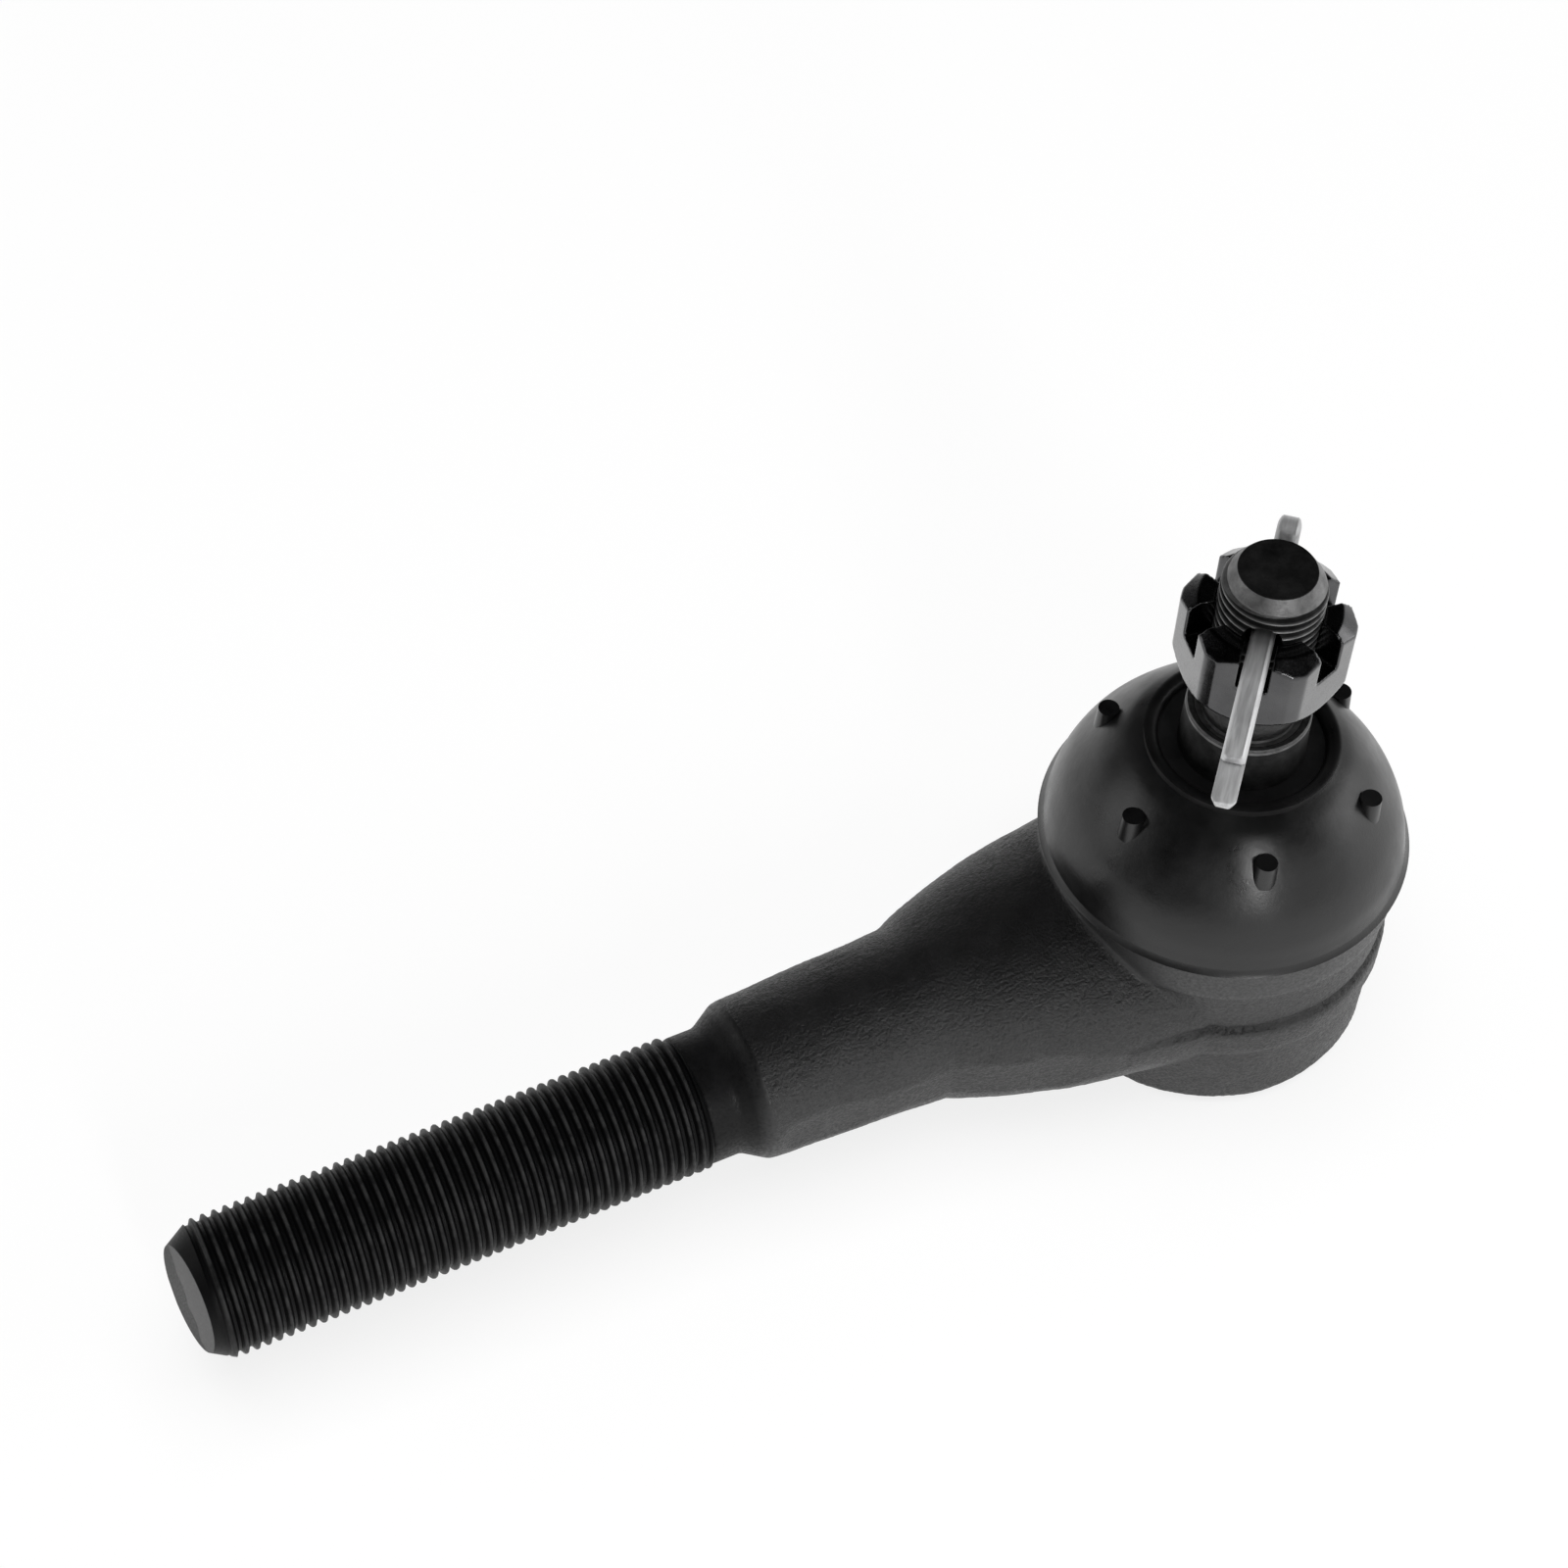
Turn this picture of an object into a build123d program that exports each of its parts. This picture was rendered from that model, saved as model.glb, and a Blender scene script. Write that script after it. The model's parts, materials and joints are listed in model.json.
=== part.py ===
from build123d import *
from math import cos, radians, sqrt
import os

# Outer tie rod end: forged socket with a threaded shank, ball stud, bearings, boot, nut and pin.
# Millimetres, +Z up. The origin is on the ball stud's axis, on the socket's flat underside.
# The shank points along -X. Every part of revolution stands on the Z axis.

# Heights and reach of the whole part
rod_height = 15.0              # shank axis above the underside
rod_tip = 141.2                # shank tip from the stud axis
ball_height = 17.0
stud_top = 79.1
inch = 25.4

# Socket housing
base_radius = 22.3
base_round = 1.5
land_low, land_high = 12.2, 16.6   # trimmed forging line round the socket
land_proud = 0.4
edge_break = 0.4               # small chamfer on the turned edges
hub_chamfer = 0.6
collar_radius = 22.9
collar_low, collar_high = 24.6, 30.7
upper_radius = 22.5
hub_radius = 19.2
hub_top = 33.0
bore_radius = 15.0
bore_top = 20.6
seat_radius, seat_top = 12.8, 22.8
throat_radius, throat_top = 10.6, 24.2
mouth_radius = 13.8
lip_height = 1.2
lip_radius = 14.1
plate_bore = 15.6

# Arm and shank
arm_neck_x, arm_end_x = 43.5, 67.7
arm_ovals = [(12.0, 19.6, 14.0), (27.0, 17.2, 13.4), (36.0, 14.7, 12.6)]   # x, half width, half height
arm_neck_radius, arm_end_radius = 11.5, 10.35
relief_radius, relief_start_x, relief_end_x = 8.3, 71.0, 75.4
thread_major = 11 / 16 * inch                  # 11/16-18 shank thread
thread_pitch = inch / 18
tip_chamfer = 2.4
tip_dish_radius, tip_dish_depth = 5.2, 0.6
tip_dimple = 1.9

# Ball stud
ball_radius = 12.0
neck_radius = 6.5
neck_top = 36.2
taper_start, taper_end = 38.6, 54.5
taper_small_radius = 6.85
shoulder_radius, shoulder_top = 6.6, 60.8     # plain stretch below the thread
taper_slope = 1 / 16                           # radius gained per millimetre, 1.5 inch per foot
stud_thread_major = inch / 2                   # 1/2-20 stud thread
stud_thread_pitch = inch / 20
stud_face_radius = 4.7
stud_chamfer = 2.5
ball_join_overlap = 2.0
pin_hole_radius = 2.0
pin_hole_flare = 0.5
flare_overlap = 0.3
pin_height = 72.6
pin_heading = 48.8                             # degrees from +X, from the pin's tips to its eye

# Bearings, spring and cover
bearing_radius = 14.9
ball_play = 0.05
lower_bearing_low, lower_bearing_high = 6.9, 15.8
upper_bearing_low, upper_bearing_high = 18.2, 23.2
spring_low, spring_high = 3.3, 6.8
spring_outer, spring_inner, spring_gauge = 14.4, 8.2, 0.9
cover_low, cover_high = 1.2, 3.2
cover_radius = 15.5
boss_radius = 5.0
port_radius = 2.75                             # tapping size of the 1/4-28 grease port

# Dust boot and its rings
boot_outline = [(22.85, 31.1), (22.9, 32.8), (22.4, 35.0), (20.9, 38.1), (18.8, 41.2), (16.5, 44.4), (14.1, 46.8)]
boot_inset = (1.45, 1.0)                        # from the outer skin to the inner one, across and down
boot_foot_radius = 20.7
lip_outer, lip_inner, lip_top = 11.65, 11.25, 48.2
lip_edge = 0.1
lip_flare = 0.2
lip_skirt = 0.3
boot_floor, boot_ceiling = 44.0, 46.65
boot_hole = 8.0
nib_count, nib_radius, nib_circle, nib_start = 6, 1.35, 17.1, 10.6
nib_top, nib_height = 45.4, 4.0
retainer_inner, retainer_outer = 19.22, 20.35
retainer_low, retainer_high = 30.7, 32.6
washer_inner, washer_outer = 7.7, 11.15
washer_low, washer_high = 46.7, 47.8

# Castle nut and cotter pin
nut_flats = 19.05
nut_low, nut_high = 61.9, 73.2
nut_slot_floor, nut_slot_width = 68.0, 3.7
nut_bore = 6.43
nut_bottom_chamfer, nut_top_chamfer = 1.5, 1.6
nut_bottom_face, nut_top_face = 9.325, 8.525     # radii of the two flat ends
nut_turned_radius = 10.5                       # the six corners are turned back to this
wire_radius = 1.45
leg_gap = 0.1
long_leg, short_leg = 29.6, 24.2               # from the stud axis to each tip
eye_start, eye_reach = 9.9, 12.7
eye_half_height = 2.9
eye_wall = 1.4
eye_root = 0.6                                 # how far the loop runs into the legs


def taper_radius(z):
    return taper_small_radius + (taper_end - z) * taper_slope


def ring_of(points):
    """Solid of revolution about Z from closed (radius, height) points."""
    return revolve(make_face(Polyline(*[(r, 0, z) for r, z in points], close=True)), Axis.Z)


def disc(radius, low, high):
    return Pos(0, 0, (low + high) / 2) * Cylinder(radius, high - low)


def rod_of(points):
    """Solid of revolution about the shank's axis from (distance from the stud axis, radius) points."""
    x_first, x_last = points[0][0], points[-1][0]
    outline = [(x_first, 0), *points, (x_last, 0)]
    face = make_face(Polyline(*[(-x, 0, rod_height + r) for x, r in outline], close=True))
    return revolve(face, Axis((0, 0, rod_height), (1, 0, 0)))


def socket_body():
    return ring_of([(0, 0), (base_radius - base_round, 0), (base_radius, base_round), (base_radius, land_low),
                    (base_radius + land_proud, land_low + land_proud),
                    (base_radius + land_proud, land_high - land_proud), (base_radius, land_high),
                    (upper_radius, collar_low - edge_break), (collar_radius, collar_low),
                    (collar_radius, collar_high - edge_break), (collar_radius - edge_break, collar_high),
                    (hub_radius, collar_high), (hub_radius, hub_top - hub_chamfer),
                    (hub_radius - hub_chamfer, hub_top), (0, hub_top)])


def socket_cavity():
    return ring_of([(0, -1), (lip_radius, -1), (lip_radius, lip_height), (plate_bore, lip_height),
                    (plate_bore, cover_high), (bore_radius, cover_high), (bore_radius, bore_top),
                    (seat_radius, seat_top), (seat_radius, seat_top + 0.5), (throat_radius, throat_top),
                    (mouth_radius, hub_top), (mouth_radius, hub_top + 1), (0, hub_top + 1)])


def arm():
    def section(x, width, height):
        plane = Plane(origin=(-x, 0, rod_height), x_dir=(0, 1, 0), z_dir=(-1, 0, 0))
        return plane * Ellipse(width, height)

    ovals = [*arm_ovals, (arm_neck_x, arm_neck_radius, arm_neck_radius)]
    root = loft([section(*oval) for oval in ovals])
    end = rod_of([(arm_neck_x, arm_neck_radius), (arm_end_x, arm_end_radius),
                  (relief_start_x, relief_radius), (relief_end_x, relief_radius)])
    return root + end


def shank():
    r = thread_major / 2
    face = r - tip_chamfer
    bar = rod_of([(relief_end_x, relief_radius), (relief_end_x + r - relief_radius, r), (rod_tip - tip_chamfer, r),
                  (rod_tip, face)])
    floor = rod_tip - tip_dish_depth
    dish = rod_of([(floor - tip_dimple, 0.01), (floor, tip_dimple), (floor + 0.01, tip_dish_radius - tip_dish_depth),
                   (rod_tip + 0.01, tip_dish_radius)])
    return bar - dish


def socket_housing():
    return socket_body() + arm() + shank() - socket_cavity()


def ball_cavity():
    return Pos(0, 0, ball_height) * Sphere(ball_radius + ball_play)


def upper_bearing():
    blank = ring_of([(0, upper_bearing_low), (bearing_radius, upper_bearing_low), (bearing_radius, bore_top - 0.1),
                     (seat_radius - 0.1, seat_top - 0.1), (seat_radius - 0.1, upper_bearing_high),
                     (0, upper_bearing_high)])
    return blank - ball_cavity()


def lower_bearing():
    return disc(bearing_radius, lower_bearing_low, lower_bearing_high) - ball_cavity()


def preload_spring():
    """Coned disc spring: the rim sits on the cover and the inner edge lifts the lower bearing."""
    return ring_of([(spring_outer, spring_low), (spring_outer, spring_low + spring_gauge),
                    (spring_inner, spring_high), (spring_inner, spring_high - spring_gauge)])


def cover_plate():
    plate = disc(cover_radius, cover_low, cover_high) + disc(boss_radius, 0, cover_high)
    return plate - disc(port_radius, -1, cover_high + 1)


def ball_stud():
    join = ball_height + sqrt(ball_radius ** 2 - neck_radius ** 2)
    thread_r = stud_thread_major / 2
    root = join - ball_join_overlap
    shaft = ring_of([(0, root), (neck_radius, root), (neck_radius, neck_top),
                     (taper_radius(taper_start), taper_start), (taper_small_radius, taper_end),
                     (shoulder_radius, taper_end + 0.3), (shoulder_radius, shoulder_top),
                     (thread_r, shoulder_top + 0.5), (thread_r, stud_top - stud_chamfer),
                     (stud_face_radius, stud_top), (0, stud_top)])
    ball = Pos(0, 0, ball_height) * Sphere(ball_radius)
    across = Pos(0, 0, pin_height) * Rot(0, 0, pin_heading) * Rot(0, 90, 0)
    hole = across * Cylinder(pin_hole_radius, 4 * thread_r)
    for side in (-1, 1):
        flare = Pos(0, 0, side * (thread_r - flare_overlap)) * Rot(90 - side * 90, 0, 0)
        hole += across * flare * Cone(pin_hole_radius, pin_hole_radius + 2 * pin_hole_flare, 2 * pin_hole_flare)
    return ball + shaft - hole


def boot_outer_edge():
    return Spline(*[(r, 0, z) for r, z in boot_outline])


def dust_boot():
    foot_r, foot_z = boot_outline[0]
    top_r, top_z = boot_outline[-1]
    across, down = boot_inset
    inner = [(r - across, z - down) for r, z in boot_outline[3:]]
    skin = [boot_outer_edge(),
            Line((top_r, 0, top_z), (lip_outer + lip_flare, 0, lip_top - lip_skirt)),
            Line((lip_outer + lip_flare, 0, lip_top - lip_skirt), (lip_outer - lip_edge, 0, lip_top)),
            Line((lip_outer - lip_edge, 0, lip_top), (lip_inner, 0, lip_top)),
            Line((lip_inner, 0, lip_top), (lip_inner, 0, boot_ceiling)),
            Line((lip_inner, 0, boot_ceiling), (boot_hole, 0, boot_ceiling)),
            Line((boot_hole, 0, boot_ceiling), (boot_hole, 0, boot_floor)),
            Line((boot_hole, 0, boot_floor), (inner[-1][0], 0, boot_floor)),
            Line((inner[-1][0], 0, boot_floor), (inner[0][0], 0, inner[0][1])),
            Line((inner[0][0], 0, inner[0][1]), (boot_foot_radius, 0, retainer_high + 1)),
            Line((boot_foot_radius, 0, retainer_high + 1), (boot_foot_radius, 0, foot_z)),
            Line((boot_foot_radius, 0, foot_z), (foot_r, 0, foot_z))]
    boot = revolve(make_face(Wire(skin)), Axis.Z)
    for k in range(nib_count):
        turn = Rot(0, 0, nib_start + k * 360 / nib_count)
        nib = Pos(nib_circle, 0, nib_top - nib_height / 2) * Cylinder(nib_radius, nib_height)
        boot += turn * nib
    return boot


def boot_retainer():
    return disc(retainer_outer, retainer_low, retainer_high) - disc(retainer_inner, retainer_low, retainer_high)


def boot_washer():
    return disc(washer_outer, washer_low, washer_high) - disc(washer_inner, washer_low, washer_high)


def castle_nut():
    height = nut_high - nut_low
    corner = nut_flats / 2 / cos(radians(30))
    hexagon = Pos(0, 0, nut_low) * extrude(Rot(0, 0, pin_heading + 30) * RegularPolygon(corner, 6), height)
    outside = nut_turned_radius
    envelope = ring_of([(0, nut_low), (nut_bottom_face, nut_low), (outside, nut_low + nut_bottom_chamfer),
                        (outside, nut_high - nut_top_chamfer), (nut_top_face, nut_high), (0, nut_high)])
    nut = (hexagon & envelope) - disc(nut_bore, nut_low - 1, nut_high + 1)
    for k in range(3):
        slot = Pos(0, 0, nut_slot_floor + height / 2) * Box(4 * corner, nut_slot_width, height)
        nut -= Rot(0, 0, pin_heading + 60 * k) * slot
    return nut


def cotter_leg(side, length):
    """Half-round leg, flat side in, pointing along -X from the eye."""
    reach = length + eye_start
    bar = Pos((eye_start - length) / 2, 0, 0) * Rot(0, 90, 0) * Cylinder(wire_radius, reach)
    half = Pos(0, 0, side * (wire_radius + leg_gap / 2)) * Box(4 * reach, 4 * wire_radius, 2 * wire_radius)
    return bar & half


def cotter_eye():
    middle = (eye_start + eye_reach) / 2
    half_length = (eye_reach - eye_start) / 2
    hole_length = half_length + eye_root - eye_wall
    loop = Ellipse(half_length + eye_root, eye_half_height) - Ellipse(hole_length, eye_half_height - eye_wall)
    return Pos(middle, wire_radius, 0) * Rot(90, 0, 0) * extrude(loop, 2 * wire_radius)


def cotter_pin():
    pin = cotter_leg(-1, long_leg) + cotter_leg(1, short_leg) + cotter_eye()
    return Pos(0, 0, pin_height) * Rot(0, 0, pin_heading) * pin


makers = [socket_housing, upper_bearing, lower_bearing, preload_spring, cover_plate, boot_retainer, dust_boot,
          boot_washer, ball_stud, castle_nut, cotter_pin]

os.makedirs("parts", exist_ok=True)
for maker in makers:
    export_step(maker(), f"parts/{maker.__name__}.step")
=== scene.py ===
import json
import math
import bmesh
import bpy
import numpy as np
from mathutils import Matrix, Vector, noise

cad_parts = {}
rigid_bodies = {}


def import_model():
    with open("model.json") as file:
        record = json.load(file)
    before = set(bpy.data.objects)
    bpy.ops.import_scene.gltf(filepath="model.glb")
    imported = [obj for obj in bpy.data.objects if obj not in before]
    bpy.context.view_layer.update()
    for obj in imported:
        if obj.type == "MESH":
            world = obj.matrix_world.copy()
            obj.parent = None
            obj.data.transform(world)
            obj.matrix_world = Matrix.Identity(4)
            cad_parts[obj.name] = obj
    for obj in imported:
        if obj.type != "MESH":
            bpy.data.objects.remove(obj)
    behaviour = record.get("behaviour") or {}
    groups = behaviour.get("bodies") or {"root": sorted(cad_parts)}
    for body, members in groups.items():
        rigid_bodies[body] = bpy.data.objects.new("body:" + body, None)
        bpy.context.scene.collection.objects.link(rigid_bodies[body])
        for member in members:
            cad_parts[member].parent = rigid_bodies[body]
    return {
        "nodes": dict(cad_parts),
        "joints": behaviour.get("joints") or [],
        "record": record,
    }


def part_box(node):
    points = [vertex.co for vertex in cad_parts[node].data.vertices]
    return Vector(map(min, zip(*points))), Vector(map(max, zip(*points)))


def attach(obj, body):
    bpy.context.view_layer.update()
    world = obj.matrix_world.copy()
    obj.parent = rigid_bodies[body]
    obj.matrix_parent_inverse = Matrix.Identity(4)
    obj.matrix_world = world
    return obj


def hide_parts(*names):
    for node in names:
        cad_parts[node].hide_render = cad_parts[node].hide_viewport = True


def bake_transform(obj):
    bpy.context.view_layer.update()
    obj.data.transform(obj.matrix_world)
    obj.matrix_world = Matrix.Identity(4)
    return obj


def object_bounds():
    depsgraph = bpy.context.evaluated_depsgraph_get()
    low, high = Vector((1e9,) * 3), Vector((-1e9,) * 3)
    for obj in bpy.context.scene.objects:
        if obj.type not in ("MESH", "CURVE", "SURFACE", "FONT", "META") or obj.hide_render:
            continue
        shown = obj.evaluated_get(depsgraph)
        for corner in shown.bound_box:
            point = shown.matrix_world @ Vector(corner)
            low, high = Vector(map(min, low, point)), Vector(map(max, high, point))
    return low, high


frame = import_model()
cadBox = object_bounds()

mm = 0.001
nodes = frame["nodes"]
mounts = {m["name"]: m for m in frame["record"]["mounts"]}
joints = {j["name"]: j for j in frame["joints"]}
rodHeight = mounts["rod_thread"]["pos_m"][2]
rodTip = -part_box("socket_housing")[0][0]
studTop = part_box("ball_stud")[1][2]
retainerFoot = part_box("boot_retainer")[0][2]
pinAxis = Vector(joints["pin_slide"]["axis"])
pinHeading = math.atan2(pinAxis.y, pinAxis.x)
pinLow, pinHigh = (corner[2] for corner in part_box("cotter_pin"))
pinHeight = (pinLow + pinHigh) / 2


def meshObject(name, mesh):
    piece = bpy.data.objects.new(name, mesh)
    bpy.context.scene.collection.objects.link(piece)
    return piece


def fromArrays(name, verts, faces, material=None):
    mesh = bpy.data.meshes.new(name)
    mesh.from_pydata([tuple(v) for v in verts], [], faces)
    mesh.validate()
    if material:
        mesh.materials.append(material)
    return meshObject(name, mesh)


def cleanMesh(mesh, merge=1e-6):
    # merges doubles, drops loose edges and points, and turns every face outwards
    bm = bmesh.new()
    bm.from_mesh(mesh)
    bmesh.ops.remove_doubles(bm, verts=bm.verts, dist=merge)
    bmesh.ops.dissolve_degenerate(bm, edges=bm.edges, dist=merge)
    loose = [edge for edge in bm.edges if not edge.link_faces]
    bmesh.ops.delete(bm, geom=loose, context="EDGES")
    loose = [vert for vert in bm.verts if not vert.link_faces]
    bmesh.ops.delete(bm, geom=loose, context="VERTS")
    bmesh.ops.recalc_face_normals(bm, faces=bm.faces)
    bm.to_mesh(mesh)
    bm.free()


def shadeSmooth(mesh, angle=None):
    mesh.polygons.foreach_set("use_smooth", [True] * len(mesh.polygons))
    if angle is not None:
        mesh.set_sharp_from_angle(angle=math.radians(angle))
    mesh.update()


def bakeModifiers(piece):
    graph = bpy.context.evaluated_depsgraph_get()
    baked = bpy.data.meshes.new_from_object(piece.evaluated_get(graph))
    piece.modifiers.clear()
    piece.data = baked
    return piece


def onlyMaterial(piece, material):
    piece.data.materials.clear()
    piece.data.materials.append(material)
    piece.data.polygons.foreach_set("material_index", [0] * len(piece.data.polygons))
    return piece


def roundCorners(points, steps=4):
    # closed outline of (r, z) or (r, z, radius); a radius puts an arc at that corner. The arc's
    # centre suits that radius, but slerp gives unit vectors, so every arc is drawn at 1 mm
    outline = []
    count = len(points)
    for k, p in enumerate(points):
        radius = p[2] if len(p) > 2 else 0
        here = Vector(p[:2])
        if not radius:
            outline.append(here)
            continue
        a = (Vector(points[k - 1][:2]) - here).normalized()
        b = (Vector(points[(k + 1) % count][:2]) - here).normalized()
        half = a.angle(b) / 2
        centre = here + (a + b).normalized() * radius / math.sin(half)
        start = here + a * radius / math.tan(half) - centre
        end = here + b * radius / math.tan(half) - centre
        for i in range(steps + 1):
            outline.append(centre + start.slerp(end, i / steps))
    return outline


def lathe(name, outline, material, sides=96, sharp=35):
    # solid of revolution about Z of a closed outline in millimetres
    rings = len(outline)
    verts = []
    for s in range(sides):
        a = 2 * math.pi * s / sides
        c, n = math.cos(a), math.sin(a)
        verts += [(r * c * mm, r * n * mm, z * mm) for r, z in outline]
    faces = []
    for s in range(sides):
        t = (s + 1) % sides
        for i in range(rings):
            j = (i + 1) % rings
            faces.append((s * rings + i, t * rings + i, t * rings + j, s * rings + j))
    piece = fromArrays(name, verts, faces, material)
    cleanMesh(piece.data)
    shadeSmooth(piece.data, sharp)
    return piece


def remeshSoft(piece, voxel, steps, material):
    # an even mesh with its edges softened
    remesh = piece.modifiers.new("remesh", "REMESH")
    remesh.mode = "VOXEL"
    remesh.voxel_size = voxel
    soften = piece.modifiers.new("soften", "SMOOTH")
    soften.iterations = steps
    soften.factor = 0.5
    return onlyMaterial(bakeModifiers(piece), material)


def joinInto(main, *others):
    bm = bmesh.new()
    for piece in (main, *others):
        bm.from_mesh(piece.data)
    bm.to_mesh(main.data)
    bm.free()
    for piece in others:
        bpy.data.objects.remove(piece)
    return main


def grey(value):
    return (value, value, value)


def setRange(mapRange, fromLow, fromHigh, toLow, toHigh):
    labels = ("From Min", "From Max", "To Min", "To Max")
    for label, value in zip(labels, (fromLow, fromHigh, toLow, toHigh)):
        mapRange.inputs[label].default_value = value


class Shader:
    def __init__(self, name):
        self.material = bpy.data.materials.new(name)
        self.material.use_nodes = True
        self.tree = self.material.node_tree
        self.bsdf = self.tree.nodes["Principled BSDF"]
        self.coords = self.tree.nodes.new("ShaderNodeTexCoord")

    def node(self, kind, **values):
        made = self.tree.nodes.new(kind)
        for key, value in values.items():
            if key in made.inputs:
                made.inputs[key].default_value = value
            else:
                setattr(made, key, value)
        return made

    def link(self, source, target):
        self.tree.links.new(source, target)

    def noise(self, scale, detail, roughness, stretch=None, source=None):
        made = self.node("ShaderNodeTexNoise", Scale=scale, Detail=detail, Roughness=roughness)
        source = source or self.coords.outputs["Object"]
        if stretch:
            mapping = self.node("ShaderNodeMapping", Scale=stretch)
            self.link(source, mapping.inputs["Vector"])
            source = mapping.outputs["Vector"]
        self.link(source, made.inputs["Vector"])
        return made.outputs["Fac"]

    def remap(self, source, low, high, fromLow=0.3, fromHigh=0.7):
        made = self.node("ShaderNodeMapRange")
        setRange(made, fromLow, fromHigh, low, high)
        self.link(source, made.inputs["Value"])
        return made.outputs["Result"]

    def math(self, operation, *values):
        made = self.node("ShaderNodeMath", operation=operation)
        for socket, value in zip(made.inputs, values):
            if isinstance(value, (int, float)):
                socket.default_value = value
            else:
                self.link(value, socket)
        return made.outputs["Value"]

    def product(self, first, *others):
        for other in others:
            first = self.math("MULTIPLY", first, other)
        return first

    def between(self, value, low, high):
        above = self.math("GREATER_THAN", value, low)
        return self.product(above, self.math("LESS_THAN", value, high))

    def across(self, a, b):
        # distance from an axis
        squares = self.math("ADD", self.product(a, a), self.product(b, b))
        return self.math("POWER", squares, 0.5)

    def mix(self, factor, a, b):
        made = self.node("ShaderNodeMix", data_type="RGBA")
        self.link(factor, made.inputs["Factor"])
        for socket, value in ((made.inputs[6], a), (made.inputs[7], b)):
            if isinstance(value, tuple):
                socket.default_value = (*value, 1)
            else:
                self.link(value, socket)
        return made.outputs[2]

    def split(self, source=None):
        made = self.node("ShaderNodeSeparateXYZ")
        self.link(source or self.coords.outputs["Object"], made.inputs["Vector"])
        return made.outputs

    def bump(self, *layers):
        # layers of (height, strength, distance), one on top of the other
        last = None
        for height, strength, distance in layers:
            made = self.node("ShaderNodeBump", Strength=strength, Distance=distance)
            self.link(height, made.inputs["Height"])
            if last:
                self.link(last, made.inputs["Normal"])
            last = made.outputs["Normal"]
        self.link(last, self.bsdf.inputs["Normal"])

    def set(self, **values):
        for key, value in values.items():
            socket = self.bsdf.inputs[key.replace("_", " ")]
            if hasattr(value, "is_output"):
                self.link(value, socket)
            elif isinstance(value, tuple):
                socket.default_value = (*value, 1)
            else:
                socket.default_value = value
        return self.material


forgingLook = {
    "dark": (0.002, 0.002, 0.0021), "light": (0.006, 0.006, 0.0063), "rough": (0.34, 0.66),
    "grain": (2600, 3, 0.6), "mottle": (260, 5, 0.6),
    "grainBump": (1.0, 0.00022), "mottleBump": (0.25, 0.0003), "machined": 0.85,
    "collar": (0.012, 0.012, 0.0124), "collarBelow": 6.1 * mm, "collarAbove": 0.4 * mm,
    "collarRadius": 22.9 * mm, "collarDepth": 0.35 * mm,
    "neck": -67.5 * mm, "neckFade": 2.0 * mm, "specular": (0.22, 0.82)}


def makeForgingPaint():
    # satin paint over a rough forging, smoother on the turned collar and neck
    d = forgingLook
    s = Shader("blackForgingPaint")
    grain = s.noise(*d["grain"])
    mottle = s.noise(*d["mottle"])
    x, y, z = s.split()
    band = s.between(z, retainerFoot - d["collarBelow"], retainerFoot + d["collarAbove"])
    ring = s.math("COMPARE", s.across(x, y), d["collarRadius"], d["collarDepth"])
    turned = s.product(band, ring)
    paint = s.mix(s.remap(mottle, 0, 1), d["dark"], d["light"])
    colour = s.mix(turned, paint, d["collar"])
    machined = s.math("MAXIMUM", turned, s.math("LESS_THAN", x, d["neck"]))
    cast = s.math("SUBTRACT", 1.0, s.product(machined, d["machined"]))
    s.bump((s.product(mottle, cast), *d["mottleBump"]), (s.product(grain, cast), *d["grainBump"]))
    specular = s.remap(x, *d["specular"], d["neck"] - d["neckFade"], d["neck"])
    return s.set(Base_Color=colour, Roughness=s.remap(grain, *d["rough"]),
                 Specular_IOR_Level=specular)


# the shank's end leans back from its far edge; sideY and sideZ point along y and against z to it
sheared = {"slant": math.radians(8.5), "sideY": 0.698, "sideZ": 0.716, "reach": 6.1 * mm,
           "skin": 0.06 * mm}
threadLook = {
    "dark": (0.002, 0.002, 0.0022), "worn": grey(0.045), "rubbed": grey(0.55),
    "torn": grey(0.002), "bare": grey(0.075),
    "grain": (5200, 4, 0.65), "patch": (420, 5, 0.6), "tear": (330, 3, 0.5),
    "bump": (0.4, 0.00006), "rough": (0.35, 0.6), "specular": 0.15, "metal": 0.5,
    "crest": (8.45 * mm, 8.72 * mm), "crestWear": 0.15, "crestPatch": (0.42, 0.62),
    "underY": -0.62, "underZ": 0.78, "under": (7.2 * mm, 8.0 * mm),
    "rubbedFrom": 3.7 * mm, "rubbedTo": 7.7 * mm, "rubbedPatch": (0.38, 0.5),
    "tearWave": 4 * mm, "tearEdge": (1.5 * mm, 1.9 * mm)}


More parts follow.
